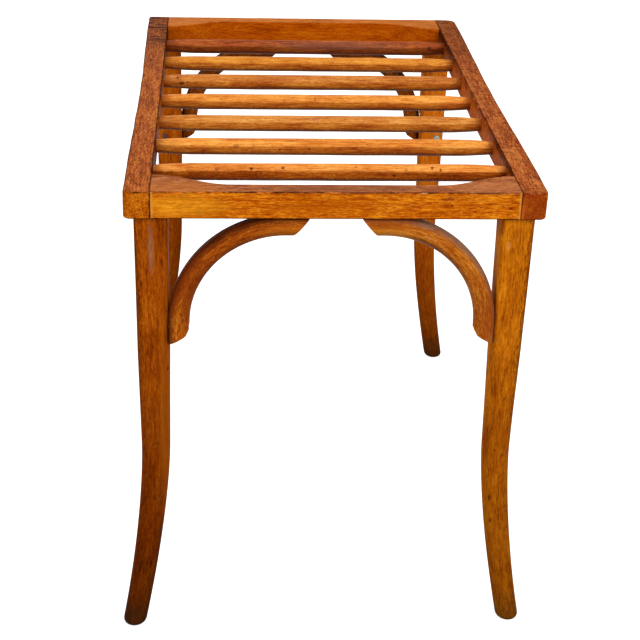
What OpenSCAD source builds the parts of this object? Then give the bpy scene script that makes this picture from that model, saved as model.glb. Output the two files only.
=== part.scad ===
// Bentwood luggage rack: a slatted top frame on four sabre legs, with a bent brace at each leg.
// Millimetres. X runs from left to right, Y from front to back, Z up from the floor.

/* [Frame] */
// Width over the two side rails
frame_w = 410; // [340:1:500]
// Length of a side rail, from front to back
frame_d = 650; // [560:1:800]
// Height of the top of the frame above the floor
frame_h = 505; // [450:1:600]
// Height of all four rails
rail_h = 28; // [26:1:40]
// Width of a side rail at its ends
side_rail_w = 26; // [24:1:34]
// How far a side rail's outer edge is hollowed at mid length
side_rail_hollow = 2.5; // [0:0.5:5]
// How far a side rail's inner edge swells at mid length
side_rail_swell = 1.5; // [0:0.5:3]
// Radius of the frame's corners, seen from above
corner_r = 7; // [3:1:12]
// Radius along the long edges of the rails
edge_r = 2; // [1:0.5:4]
// Chamfer round the ends of the side rails
arris = 0.8; // [0.4:0.1:1.5]

/* [Cross rails] */
// Width of a cross rail between its widened ends
cross_rail_w = 22; // [19:1:26]
// Width of a cross rail where it meets the side rails
cross_rail_end_w = 48; // [44:1:56]
// Length of the full width at each end
cross_rail_pad = 2; // [1:1:20]
// Length of the curve from the full width to the narrow middle
cross_rail_sweep = 75; // [60:1:95]
// How far the cross rails stand back from the side rails' ends
cross_rail_setback = 1; // [0:0.5:2]

/* [Rungs] */
// Diameter of a rung
rung_d = 18; // [15:0.5:20]
// Diameter of a rung where it meets a side rail
rung_end_d = 14; // [11.5:0.5:15]
// Length of the taper at each end
rung_taper = 40; // [12:1:60]
// Diameter of the tenon at each end
rung_tenon_d = 10.5; // [8:0.5:11]
// Length of the tenon at each end
rung_tenon_l = 15; // [10:1:18]
// Depth of the rungs' tops below the top of the frame
rung_drop = 5; // [3:0.5:10]
// Distance from the end of the frame to the axis of the first rung
rung_inset = 94; // [80:1:120]

/* [Legs] */
// Width of a leg under the frame
leg_w = 33; // [30:1:38]
// Distance from the end of the frame to a leg's axis
leg_inset = 24; // [22:0.5:26]
// Corner radius of a leg where it meets the frame
leg_corner_r = 3; // [1:0.5:6]
// Height above the floor at which the leg starts to taper
leg_taper_h = 330; // [250:1:340]
// Height above the floor at which the leg becomes round
leg_round_h = 250; // [100:1:290]
// Height above the floor at which the leg starts to sweep out
sweep_h = 215; // [120:1:280]
// Sideways reach of the sweep at the floor
sweep_side = 27; // [10:1:40]
// Endways reach of the sweep at the floor
sweep_end = 16; // [5:1:30]
// Diameter of the foot
foot_d = 25; // [20:1:30]
// Radius round the sole of the foot
foot_r = 5; // [2:0.5:8]

/* [Braces] */
// Radius of the brace's outer face
brace_r = 116; // [90:1:130]
// Width of a brace from front to back
brace_w = 21; // [17:1:24]
// Thickness of a brace, from its outer face to its round inner side
brace_t = 21.5; // [18:0.5:24]
// Corner radius of the brace's outer face
brace_outer_r = 7; // [3:0.5:8]
// Straight run under the rail, up to the tip
brace_rail_run = 24; // [20:1:40]
// Straight run down the leg, up to the tip
brace_leg_run = 22; // [18:1:40]
// Slant of the end under the rail
brace_rail_cut = 40; // [20:1:45]
// Slant of the end on the leg
brace_leg_cut = 30; // [10:1:40]
// Depth of the flat planed into the leg for the brace
brace_seat = 1.5; // [1:0.25:2.5]
// How far the brace stands back from the face of the cross rail
brace_setback = 3; // [1:0.5:5]

/* [Dowels] */
// Diameter of the dowels that join the rails
frame_dowel_d = 8; // [6:0.5:9]
// Length of the dowels that join the rails
frame_dowel_l = 30; // [20:1:36]
// Distance from the edges of the rail to those dowels
frame_dowel_edge = 10; // [8:0.5:10.5]
// Diameter of the dowels that hold the legs
leg_dowel_d = 8; // [6:0.5:9]
// Length of the dowels that hold the legs
leg_dowel_l = 36; // [24:1:44]
// Distance between the two dowels of a leg
leg_dowel_gap = 18; // [14:0.5:20]

/* [Screws] */
// Diameter of a brace screw's shank
brace_screw_d = 4; // [3:0.5:5]
// Length of a brace screw
brace_screw_l = 38; // [30:1:42]
// Diameter of a brace screw's countersunk head
brace_screw_head_d = 8; // [7:0.5:9]
// Depth of a brace screw's head below the brace's surface
brace_screw_recess = 2; // [1:0.5:3]
// Diameter of a leg screw's shank
leg_screw_d = 4; // [3:0.5:5]
// Length of a leg screw's shank
leg_screw_l = 22; // [14:1:26]
// Diameter of a leg screw's round head
leg_screw_head_d = 9; // [7:0.5:11]
// Height of a leg screw's round head
leg_screw_head_h = 3; // [2:0.5:4]
// Height of the leg screws above the floor
leg_screw_h = 351; // [300:1:380]
// Sideways distance from a leg's axis to its screw
leg_screw_side = 6; // [0:0.5:7]
// Width of the slots in the screw heads
slot_w = 1.2; // [0.8:0.1:1.6]
// Depth of the slots in the screw heads
slot_t = 1.2; // [0.8:0.1:1.5]

/* [Fit] */
// Clearance round tenons, dowels and screws
fit = 0.1; // [0.05:0.05:0.2]
// Space left at the bottom of a blind hole
hole_spare = 1; // [0.5:0.5:2]

/* [Hidden] */
rung_total = 7;
taper_power = 1.2;
sweep_power = 1.6;
ring_corner = 6;
rail_corner = 3;
curve_steps = 12;
brace_screw_land = 5.5;
$fn = 48;

rail_z = frame_h - rail_h;
half_w = frame_w / 2;
half_d = frame_d / 2;
seam_x = half_w - side_rail_w;
cross_y = half_d - cross_rail_setback;
waist_half = cross_y - cross_rail_end_w;
rung_z = frame_h - rung_drop - rung_d / 2;
rung_pitch = (frame_d - 2 * rung_inset) / (rung_total - 1);
leg_y = half_d - leg_inset;
leg_face_x = seam_x - leg_w / 2;
brace_y = cross_y - brace_setback - brace_w / 2;
brace_x = leg_face_x + brace_seat - brace_r;
brace_z = rail_z - brace_r;
brace_screw_rail = brace_rail_run - brace_t * tan(brace_rail_cut) - brace_screw_land;
brace_screw_leg = brace_leg_run - brace_t * tan(brace_leg_cut) - brace_screw_land;
frame_dowel_ys = [cross_y - frame_dowel_edge, cross_y - cross_rail_end_w + frame_dowel_edge];

// Outline of a rectangle with round corners, anticlockwise
function round_rect(x0, x1, y0, y1, r, steps) =
    [for (c = [[x1 - r, y1 - r, 0], [x0 + r, y1 - r, 90], [x0 + r, y0 + r, 180], [x1 - r, y0 + r, 270]])
        for (i = [0:steps])
            let (a = c[2] + 90 * i / steps)
            [c[0] + r * cos(a), c[1] + r * sin(a)]];

// Closed solid through a stack of outlines that all have as many points
module loft(rings) {
    n = len(rings[0]);
    last = len(rings) - 1;
    walls = [for (k = [0:last - 1], i = [0:n - 1])
        let (a = k * n + i, b = k * n + (i + 1) % n)
        each [[a, a + n, b], [b, a + n, b + n]]];
    start_cap = [for (i = [0:n - 1]) i];
    end_cap = [for (i = [n - 1:-1:0]) last * n + i];
    polyhedron([for (ring = rings) each ring], concat(walls, [start_cap, end_cap]), convexity = 4);
}

// Draws its children in one corner, the back right being as modelled
module corner(side, end) {
    mirror([side < 0 ? 1 : 0, 0, 0])
        mirror([0, end < 0 ? 1 : 0, 0])
            children();
}

module all_corners() {
    for (side = [-1, 1], end = [-1, 1]) corner(side, end) children();
}

// Side rails

function waist(y) = abs(y) < waist_half ? (1 + cos(180 * y / waist_half)) / 2 : 0;
function rail_inner(y) = seam_x - side_rail_swell * waist(y);
function rail_outer(y) = half_w - side_rail_hollow * waist(y);

function side_ring(y, cut, ease) =
    [for (p = round_rect(rail_inner(y) + ease, rail_outer(y) - cut - ease,
                         rail_z + ease, frame_h - ease, edge_r, rail_corner)) [p[0], y, p[1]]];

// The half of a side rail behind the middle, from its end inwards
function side_half() = concat(
    [side_ring(half_d, corner_r, arris)],
    [for (a = [75:-15:0])
        side_ring(half_d - arris - corner_r * (1 - sin(a)), corner_r * (1 - cos(a)), 0)],
    [for (k = [0:curve_steps]) side_ring(waist_half * (1 - k / curve_steps), 0, 0)]);

module side_rail(side) {
    back = side_half();
    front = [for (k = [len(back) - 2:-1:0]) [for (p = back[k]) [p[0], -p[1], p[2]]]];
    color("sienna")
        corner(side, 1)
            difference() {
                loft(concat(back, front));
                for (i = [1:rung_total]) rung_hole(rung_y(i));
                for (end = [-1, 1]) corner(1, end) {
                    rail_dowel_holes();
                    leg_dowel_holes();
                }
            }
}

// Cross rails

function cross_width(x) =
    let (t = (seam_x - cross_rail_pad - abs(x)) / cross_rail_sweep)
    cross_rail_w + (cross_rail_end_w - cross_rail_w) * (1 + cos(180 * max(0, min(1, t)))) / 2;

function cross_ring(x) =
    [for (p = round_rect(cross_y - cross_width(x), cross_y, rail_z, frame_h, edge_r, rail_corner))
        [x, p[0], p[1]]];

module cross_rail(end) {
    foot = seam_x - cross_rail_pad;
    half = concat([seam_x], [for (k = [0:curve_steps]) foot - cross_rail_sweep * k / curve_steps]);
    stations = concat([for (x = half) -x], [for (k = [len(half) - 1:-1:0]) half[k]]);
    color("chocolate")
        corner(1, end)
            difference() {
                loft([for (x = stations) cross_ring(x)]);
                for (side = [-1, 1]) corner(side, 1) {
                    rail_dowel_holes();
                    leg_dowel_holes();
                    brace_rail_screw_place() screw_hole();
                }
            }
}

// Rungs

function rung_y(i) = -half_d + rung_inset + (i - 1) * rung_pitch;
function rung_taper_r(t) = (rung_end_d + (rung_d - rung_end_d) * sin(90 * t)) / 2;

module rung_hole(y) {
    depth = rung_tenon_l + hole_spare;
    translate([rail_inner(y) - side_rail_swell - 1, y, rung_z])
        rotate([0, 90, 0])
            cylinder(h = depth + side_rail_swell + 1, d = rung_tenon_d + 2 * fit);
}

module rung(i) {
    shoulder = rail_inner(rung_y(i)) - fit;
    tip = shoulder + rung_tenon_l;
    half = concat(
        [[0, tip], [rung_tenon_d / 2 - 1, tip], [rung_tenon_d / 2, tip - 1], [rung_tenon_d / 2, shoulder]],
        [for (t = [0:0.25:1]) [rung_taper_r(t), shoulder - rung_taper * t]]);
    other = [for (k = [len(half) - 1:-1:0]) [half[k][0], -half[k][1]]];
    color("darkorange")
        translate([0, rung_y(i), rung_z])
            rotate([0, 90, 0])
                rotate_extrude()
                    polygon(concat(half, other));
}

// Legs

function leg_half_w(z) = (foot_d + (leg_w - foot_d) * pow(min(1, z / leg_taper_h), taper_power)) / 2;
function leg_radius(z) =
    let (t = min(1, (rail_z - z) / (rail_z - leg_round_h)))
    leg_corner_r + (leg_half_w(z) - leg_corner_r) * t;
function sweep(z) = pow(max(0, 1 - z / sweep_h), sweep_power);

function leg_ring(z, inset) =
    let (w = leg_half_w(z) - inset,
         r = min(w, leg_radius(z)),
         x = seam_x + sweep_side * sweep(z),
         y = leg_y + sweep_end * sweep(z))
    [for (p = round_rect(x - w, x + w, y - w, y + w, r, ring_corner)) [p[0], p[1], z]];

module leg_blank() {
    sole = [for (a = [0:22.5:67.5]) leg_ring(foot_r * (1 - cos(a)), foot_r * (1 - sin(a)))];
    swept = [for (k = [0:curve_steps]) leg_ring(foot_r + (sweep_h - foot_r) * k / curve_steps, 0)];
    shaft = [for (k = [1:curve_steps / 2])
        leg_ring(sweep_h + (rail_z - sweep_h) * k / (curve_steps / 2), 0)];
    loft(concat(sole, swept, shaft));
}

// The flat that is planed into the leg where the brace lies on it
module brace_flat() {
    reach = sqrt(2 * brace_r * brace_seat);
    translate([leg_face_x - 1, brace_y - brace_w / 2 - fit, brace_z - brace_leg_run])
        cube([brace_seat + 1, leg_w, brace_leg_run + reach]);
}

module leg(side, end) {
    color("peru")
        corner(side, end)
            difference() {
                leg_blank();
                leg_dowel_holes();
                brace_flat();
                brace_leg_screw_place() screw_hole();
                leg_screw_place() cylinder(h = leg_screw_l + hole_spare, d = leg_screw_d + 2 * fit);
            }
}

// Braces

module brace_section() {
    inner = brace_r - brace_t;
    intersection() {
        translate([inner, -brace_w / 2]) square([brace_t, brace_w]);
        union() {
            translate([inner + brace_w / 2, 0]) circle(d = brace_w);
            translate([inner + brace_w / 2, -brace_w / 2])
                square([brace_t - brace_w / 2 - brace_outer_r, brace_w]);
            translate([inner + brace_w / 2, brace_outer_r - brace_w / 2])
                square([brace_t, brace_w - 2 * brace_outer_r]);
            for (s = [-1, 1])
                translate([brace_r - brace_outer_r, s * (brace_w / 2 - brace_outer_r)])
                    circle(r = brace_outer_r);
        }
    }
}

// The bent rod about the centre of its curve, flat face outwards, before its ends are cut
module brace_blank() {
    rotate([90, 0, 0]) rotate_extrude(angle = 90) brace_section();
    translate([0, 0, -brace_leg_run]) linear_extrude(brace_leg_run) brace_section();
    rotate([0, -90, 0]) linear_extrude(brace_rail_run) brace_section();
}

module brace(side, end) {
    block = 3 * brace_t;
    color("saddlebrown")
        corner(side, end)
            difference() {
                translate([brace_x, brace_y, brace_z])
                    difference() {
                        brace_blank();
                        translate([-brace_rail_run, 0, brace_r])
                            rotate([0, -brace_rail_cut, 0])
                                translate([-block, -block / 2, -block])
                                    cube([block, block, 2 * block]);
                        translate([brace_r, 0, -brace_leg_run])
                            rotate([0, brace_leg_cut, 0])
                                translate([-block, -block / 2, -block])
                                    cube([2 * block, block, block]);
                    }
                brace_rail_screw_place() screw_hole();
                brace_leg_screw_place() screw_hole();
            }
}

// Dowels

module rail_dowel_places() {
    for (y = frame_dowel_ys)
        translate([seam_x, y, rail_z + rail_h / 2])
            rotate([0, 90, 0])
                children();
}

module leg_dowel_places() {
    for (s = [-1, 1])
        translate([seam_x + s * leg_dowel_gap / 2, leg_y, rail_z])
            children();
}

// A dowel with chamfered ends, centred where the two pieces meet
module dowel(d, l) {
    bevel = 1;
    cylinder(h = l - 2 * bevel, d = d, center = true);
    for (s = [0, 1])
        mirror([0, 0, s])
            translate([0, 0, l / 2 - bevel])
                cylinder(h = bevel, d1 = d, d2 = d - 2 * bevel);
}

module rail_dowel_holes() {
    rail_dowel_places()
        cylinder(h = frame_dowel_l + 2 * hole_spare, d = frame_dowel_d + 2 * fit, center = true);
}

module leg_dowel_holes() {
    leg_dowel_places()
        cylinder(h = leg_dowel_l + 2 * hole_spare, d = leg_dowel_d + 2 * fit, center = true);
}

module rail_dowels() {
    color("burlywood") all_corners() rail_dowel_places() dowel(frame_dowel_d, frame_dowel_l);
}

module leg_dowels() {
    color("burlywood") all_corners() leg_dowel_places() dowel(leg_dowel_d, leg_dowel_l);
}

// Screws, each drawn with its head at the origin and its point up

module brace_rail_screw_place() {
    translate([brace_x - brace_screw_rail, brace_y, rail_z - brace_t + brace_screw_recess]) children();
}

module brace_leg_screw_place() {
    translate([brace_x + brace_r - brace_t + brace_screw_recess, brace_y, brace_z - brace_screw_leg])
        rotate([0, 90, 0])
            children();
}

module leg_screw_place() {
    translate([seam_x + leg_screw_side, leg_y - leg_w / 2, leg_screw_h])
        rotate([-90, 0, 0])
            children();
}

module shank(d, l) {
    point = 2 * d;
    cylinder(h = l - point, d = d);
    translate([0, 0, l - point]) cylinder(h = point, d1 = d, d2 = d / 4);
}

module slot(head_d) {
    translate([-slot_w / 2, -head_d, -slot_t]) cube([slot_w, 2 * head_d, 2 * slot_t]);
}

module screw_hole() {
    head_h = (brace_screw_head_d - brace_screw_d) / 2;
    mouth = brace_screw_recess + 2;
    translate([0, 0, -mouth]) cylinder(h = mouth, d = brace_screw_head_d + 2 * fit);
    cylinder(h = head_h, d1 = brace_screw_head_d + 2 * fit, d2 = brace_screw_d + 2 * fit);
    cylinder(h = brace_screw_l + hole_spare, d = brace_screw_d + 2 * fit);
}

module brace_screw() {
    head_h = (brace_screw_head_d - brace_screw_d) / 2;
    difference() {
        union() {
            cylinder(h = head_h, d1 = brace_screw_head_d, d2 = brace_screw_d);
            shank(brace_screw_d, brace_screw_l);
        }
        slot(brace_screw_head_d);
    }
}

module leg_screw() {
    // Radius of the ball that a head of this width and height is cut from
    ball_r = (pow(leg_screw_head_d / 2, 2) + pow(leg_screw_head_h, 2)) / (2 * leg_screw_head_h);
    shank(leg_screw_d, leg_screw_l);
    difference() {
        intersection() {
            translate([0, 0, ball_r - leg_screw_head_h]) sphere(r = ball_r);
            translate([0, 0, -leg_screw_head_h]) cylinder(h = leg_screw_head_h, d = leg_screw_head_d);
        }
        translate([0, 0, -leg_screw_head_h]) slot(leg_screw_head_d);
    }
}

module brace_screws() {
    color("goldenrod")
        all_corners() {
            brace_rail_screw_place() brace_screw();
            brace_leg_screw_place() brace_screw();
        }
}

module leg_screws() {
    color("silver") all_corners() leg_screw_place() leg_screw();
}

side_rail(-1);  // side_rail_left
side_rail(1);  // side_rail_right
cross_rail(-1);  // front_rail
cross_rail(1);  // back_rail
rung(1);  // rung_1
rung(2);  // rung_2
rung(3);  // rung_3
rung(4);  // rung_4
rung(5);  // rung_5
rung(6);  // rung_6
rung(7);  // rung_7
leg(-1, -1);  // leg_front_left
leg(1, -1);  // leg_front_right
leg(-1, 1);  // leg_back_left
leg(1, 1);  // leg_back_right
brace(-1, -1);  // brace_front_left
brace(1, -1);  // brace_front_right
brace(-1, 1);  // brace_back_left
brace(1, 1);  // brace_back_right
rail_dowels();
leg_dowels();
brace_screws();
leg_screws();
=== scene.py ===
import math

import bmesh
import bpy
from mathutils import Matrix, Vector, noise


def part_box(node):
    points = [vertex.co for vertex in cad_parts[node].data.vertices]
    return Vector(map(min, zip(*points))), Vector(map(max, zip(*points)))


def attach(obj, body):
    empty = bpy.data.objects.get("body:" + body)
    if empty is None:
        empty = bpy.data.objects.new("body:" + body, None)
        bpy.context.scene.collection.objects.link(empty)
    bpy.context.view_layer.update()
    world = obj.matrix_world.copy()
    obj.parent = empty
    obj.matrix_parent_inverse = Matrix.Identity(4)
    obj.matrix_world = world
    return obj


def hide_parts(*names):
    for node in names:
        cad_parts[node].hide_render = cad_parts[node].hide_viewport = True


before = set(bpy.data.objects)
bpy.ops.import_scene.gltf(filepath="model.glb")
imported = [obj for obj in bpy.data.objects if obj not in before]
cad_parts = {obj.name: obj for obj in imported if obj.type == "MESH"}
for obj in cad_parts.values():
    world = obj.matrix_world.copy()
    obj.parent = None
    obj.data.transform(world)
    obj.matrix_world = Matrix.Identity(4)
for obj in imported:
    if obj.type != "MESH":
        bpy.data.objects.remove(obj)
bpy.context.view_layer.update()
scene = bpy.context.scene
print("frame loaded")

# places that the frame gives, in metres: x to the right, y to the back, z up from the floor
railLow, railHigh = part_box("side_rail_right")
crossLow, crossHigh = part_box("front_rail")
topZ, underZ = railHigh.z, railLow.z
halfWidth, halfDepth = railHigh.x, railHigh.y
seamX = crossHigh.x  # the joint between a side rail and the cross rails
crossY = -crossLow.y  # the cross rails' outer faces


# camera

cameraSet = {
    "place": (-0.1152, -1.6606, 1.0194),
    "down": 25.86,  # degrees below the horizon
    "right": 4.36,  # degrees to the right of the side rails
    "roll": 1.8,  # degrees anticlockwise
    "lens": 84.375, "sensor": 36,  # millimetres
}


def makeCamera(look):
    data = bpy.data.cameras.new("camera")
    data.lens = look["lens"]
    data.sensor_width = look["sensor"]
    camera = bpy.data.objects.new("camera", data)
    scene.collection.objects.link(camera)
    turn = Matrix.Rotation(math.radians(-look["right"]), 4, "Z")
    tilt = Matrix.Rotation(math.radians(90 - look["down"]), 4, "X")
    roll = Matrix.Rotation(math.radians(look["roll"]), 4, "Z")
    camera.matrix_world = Matrix.Translation(look["place"]) @ turn @ tilt @ roll
    scene.camera = camera


makeCamera(cameraSet)
print("camera placed")


# shader arithmetic

class Wire:
    def __init__(self, finish, socket):
        self.finish = finish
        self.socket = socket

    def out(self, name):  # another output of the same node
        return Wire(self.finish, self.socket.node.outputs[name])

    def swing(self, share):  # noise from 0 to 1 as a change up or down
        return (self - 0.5) * share

    def __add__(self, other):
        return self.finish.maths("ADD", self, other)

    def __radd__(self, other):
        return self.finish.maths("ADD", other, self)

    def __sub__(self, other):
        return self.finish.maths("SUBTRACT", self, other)

    def __rsub__(self, other):
        return self.finish.maths("SUBTRACT", other, self)

    def __mul__(self, other):
        return self.finish.maths("MULTIPLY", self, other)

    def __rmul__(self, other):
        return self.finish.maths("MULTIPLY", other, self)


class Finish:
    def __init__(self, name, tree=None):
        if tree is None:
            self.material = bpy.data.materials.new(name)
            self.material.use_nodes = True
            tree = self.material.node_tree
        self.tree = tree
        self.tree.nodes.clear()

    def node(self, kind, settings, inputs, output=0):
        made = self.tree.nodes.new(kind)
        for name, value in settings.items():
            if name == "stops":
                self.fillRamp(made.color_ramp, value)
            else:
                setattr(made, name, value)
        for name, value in inputs.items():
            if isinstance(value, Wire):
                self.tree.links.new(value.socket, made.inputs[name])
            else:
                made.inputs[name].default_value = value
        return Wire(self, made.outputs[output] if made.outputs else None)

    def fillRamp(self, ramp, stops):
        while len(ramp.elements) < len(stops):
            ramp.elements.new(1)
        for element, (place, colour) in zip(ramp.elements, stops):
            element.position = place
            element.color = colour

    def maths(self, operation, first, second):
        return self.node("ShaderNodeMath", {"operation": operation}, {0: first, 1: second})

    def vector(self, operation, first, second, output=0):
        return self.node("ShaderNodeVectorMath", {"operation": operation},
                         {0: first, 1: second}, output)

    def blend(self, share, first, second, kind="MIX"):
        return self.node("ShaderNodeMix", {"data_type": "RGBA", "blend_type": kind},
                         {0: share, 6: first, 7: second}, output=2)

    def stain(self, colour, share, code, kind="MIX"):
        return self.blend(share, colour, tint(code), kind)

    def ramp(self, value, places, codes):
        return self.node("ShaderNodeValToRGB", {"stops": list(zip(places, map(tint, codes)))},
                         {"Fac": value})

    def between(self, value, low, high):  # 0 at low and 1 at high, eased
        return self.node("ShaderNodeMapRange", {"interpolation_type": "SMOOTHSTEP"},
                         {"Value": value, "From Min": low, "From Max": high})

    def stretched(self, vector, scale, shift=(0, 0, 0)):
        return self.node("ShaderNodeMapping", {},
                         {"Vector": vector, "Location": shift, "Scale": scale})

    def cloud(self, vector, detail=2, roughness=0.5, distortion=0):
        return self.node("ShaderNodeTexNoise", {}, {
            "Vector": vector, "Scale": 1,
            "Detail": detail, "Roughness": roughness, "Distortion": distortion})


def tint(code):  # "#rrggbb" as a linear colour
    shares = [int(code[k:k + 2], 16) / 255 for k in (1, 3, 5)]
    return [s / 12.92 if s <= 0.04045 else ((s + 0.055) / 1.055) ** 2.4 for s in shares] + [1]


# wood, with each scale in waves per metre, twice across the grain and then along it

beech = {
    "side": ("#8a3a04", "#c4690a", "#e89a1c"),  # dark, plain and light on the side faces
    "top": ("#6a2a0c", "#9c4a18", "#bc6a34"),  # and on the faces that look up
    "toneStops": (0.3, 0.5, 0.7),
    "topShare": 0.0, "topFrom": 0.5, "topTo": 0.85,  # how far such a face looks up
    # painted shade on the faces that look down
    "underShadeTone": "#4a1c08", "underShadeShare": 0.6, "underFrom": -0.15, "underTo": -0.65,
    "pith": (0.045, 0.03),  # from the piece's own axis to the heart of the tree
    "ringShare": 0.25, "rings": 380, "ringChange": 4,  # per metre from the heart, and along it
    "drift": 0.02, "driftScale": (14, 14, 5),
    "streakShare": 0.7, "streakScale": (820, 820, 60),
    "mottleShare": 0.9, "mottleScale": (620, 620, 150),
    "patchShare": 0.35, "patchScale": (60, 60, 18),
    "poreShare": 0.35, "poreScale": (700, 700, 170), "poreTone": "#1c0a03",
    "poreFrom": 0.34, "poreTo": 0.12,
    "speckShare": 0.3, "speckScale": (1100, 1100, 260), "speckTone": "#f0b040",
    "speckFrom": 0.6, "speckTo": 0.72, "speckPatch": 0.3,
    "edgeShare": 0.35, "edgeTone": "#2c0e04", "edgeFrom": 0.1, "edgeTo": 0.6,
    "rubScale": (150, 150, 75), "rubFrom": 0.36, "rubTo": 0.58,  # lower is a less broken edge
    "sawShare": 0.0, "sawTone": "#34120a", "sawFrom": -1, "sawTo": 1, "sawFade": 0.04,  # along y
    "sawAngles": (0.15, -0.4), "sawScale": (30, 30, 300), "cutFrom": 0.55, "cutTo": 0.62,
    "dirtAndShadeScale": (150, 150, 70),  # along x, y and z
    "lowShare": 0.0, "lowRate": 2.5, "lowRagged": 0.25,  # darker towards the floor
    "lowStops": (0, 0.2, 0.5, 0.92), "lowTones": ("#85807a", "#aaa098", "#cfc4b8", "#ffffff"),
    "footShare": 0.0, "footTone": "#38200e", "footHeight": 0.05, "footSoil": 0.07,
    # painted shade that grows towards the back
    "backShadeShare": 0.0, "backShadeTone": "#8a807c", "backFrom": 0.0, "backTo": 0.3,
    "stripeShare": 0.0, "stripeTone": "#f0ae4c",  # beside the seam, in metres from it
    "stripeFrom": 0.0035, "stripeTo": 0.0015,
    "seamShare": 0.0, "seamTone": "#2a0e04", "seamFrom": 0.0009, "seamTo": 0.0003,
    # painted shade where a rung goes into a rail
    "socketShadeShare": 0.0, "socketShadeTone": "#6e1e06", "socketReach": 0.012, "socketRagged": 0.01,
    "marks": [],  # place, reach along x, y and z, colour, share, depth
    "markRagged": 1.2, "markCore": 0.4,
    "rough": 0.5, "roughMottle": 0.25, "roughPatch": 0.2, "shine": 0.004,
    "relief": 0.0004, "reliefShare": 0.4,
    "ringRelief": 0.2, "streakRelief": 0.4, "mottleRelief": 0.4, "poreRelief": 0.5,
    "seed": (0, 0, 0),
}


def growthRings(f, look, grain):  # shells round the heart, bent by a slow drift
    drift = f.cloud(f.stretched(grain, look["driftScale"], look["seed"]), detail=1)
    apart = f.node("ShaderNodeSeparateXYZ", {}, {"Vector": grain})
    fromHeart = f.node("ShaderNodeCombineXYZ", {}, {
        "X": apart.out("X") + look["pith"][0] + drift.swing(look["drift"]),
        "Y": apart.out("Y") + look["pith"][1],
    })
    radius = f.vector("LENGTH", fromHeart, (0, 0, 0), "Value")
    shell = f.node("ShaderNodeCombineXYZ", {}, {
        "X": radius * look["rings"],
        "Y": apart.out("Z") * look["ringChange"],
        "Z": look["seed"][0],
    })
    return f.cloud(shell, detail=2, roughness=0.55)


def sawMarks(f, look, grain, y):
    cuts = 0
    for angle in look["sawAngles"]:
        turned = f.node("ShaderNodeVectorRotate", {"rotation_type": "Y_AXIS"},
                        {"Vector": grain, "Angle": angle})
        strokes = f.cloud(f.stretched(turned, look["sawScale"], look["seed"]), detail=1)
        cuts = f.between(strokes, look["cutFrom"], look["cutTo"]) + cuts
    there = (f.between(y, look["sawFrom"], look["sawFrom"] + look["sawFade"])
             * f.between(y, look["sawTo"], look["sawTo"] - look["sawFade"]))
    return cuts * there


def soiledAndShaded(f, look, colour, x, onTop):  # dirt and shade by place, some of it painted shade, then the frame's joints
    y, z = x.out("Y"), x.out("Z")
    place = f.node("ShaderNodeTexCoord", {}, {}, "Object")
    dirtAndShadeNoise = f.cloud(f.stretched(place, look["dirtAndShadeScale"], look["seed"]), detail=4, roughness=0.7)
    if look["lowShare"]:
        shade = f.ramp(z * look["lowRate"] + dirtAndShadeNoise.swing(look["lowRagged"]),
                       look["lowStops"], look["lowTones"])
        colour = f.blend(look["lowShare"], colour, shade, "MULTIPLY")
    if look["footShare"]:
        dirty = f.between(z + dirtAndShadeNoise.swing(look["footSoil"]), look["footHeight"], 0)
        colour = f.stain(colour, dirty * look["footShare"], look["footTone"])
    # painted shade that grows towards the back
    if look["backShadeShare"]:
        far = f.between(y, look["backFrom"], look["backTo"])
        colour = f.stain(colour, far * look["backShadeShare"], look["backShadeTone"], "MULTIPLY")

    fromMiddle = f.maths("ABSOLUTE", x, 0)
    if look["stripeShare"]:
        stripe = f.between(fromMiddle, seamX - look["stripeFrom"], seamX - look["stripeTo"])
        colour = f.stain(colour, stripe * (1 - onTop) * look["stripeShare"], look["stripeTone"])
    if look["seamShare"]:
        fromSeam = f.maths("ABSOLUTE", fromMiddle - seamX, 0)
        seam = f.between(fromSeam, look["seamFrom"], look["seamTo"])
        colour = f.stain(colour, seam * look["seamShare"], look["seamTone"])
    # painted shade where a rung goes into a rail
    if look["socketShadeShare"]:
        socket = f.between(fromMiddle + dirtAndShadeNoise.swing(look["socketRagged"]),
                           seamX - look["socketReach"], seamX)
        colour = f.stain(colour, socket * look["socketShadeShare"], look["socketShadeTone"])
    return colour


def marked(f, look, colour, place, mottle):  # nail holes, dents, stains and light spots, and some painted light and shade
    dents = 0
    for spot, reach, code, share, depth in look["marks"]:
        away = f.vector("DIVIDE", f.vector("SUBTRACT", place, spot), reach)
        distance = f.vector("LENGTH", away, (0, 0, 0), "Value")
        mark = f.between(distance + mottle.swing(look["markRagged"]), 1, look["markCore"])
        colour = f.stain(colour, mark * share, code)
        if depth:
            dents = mark * depth + dents
    return colour, dents


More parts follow.
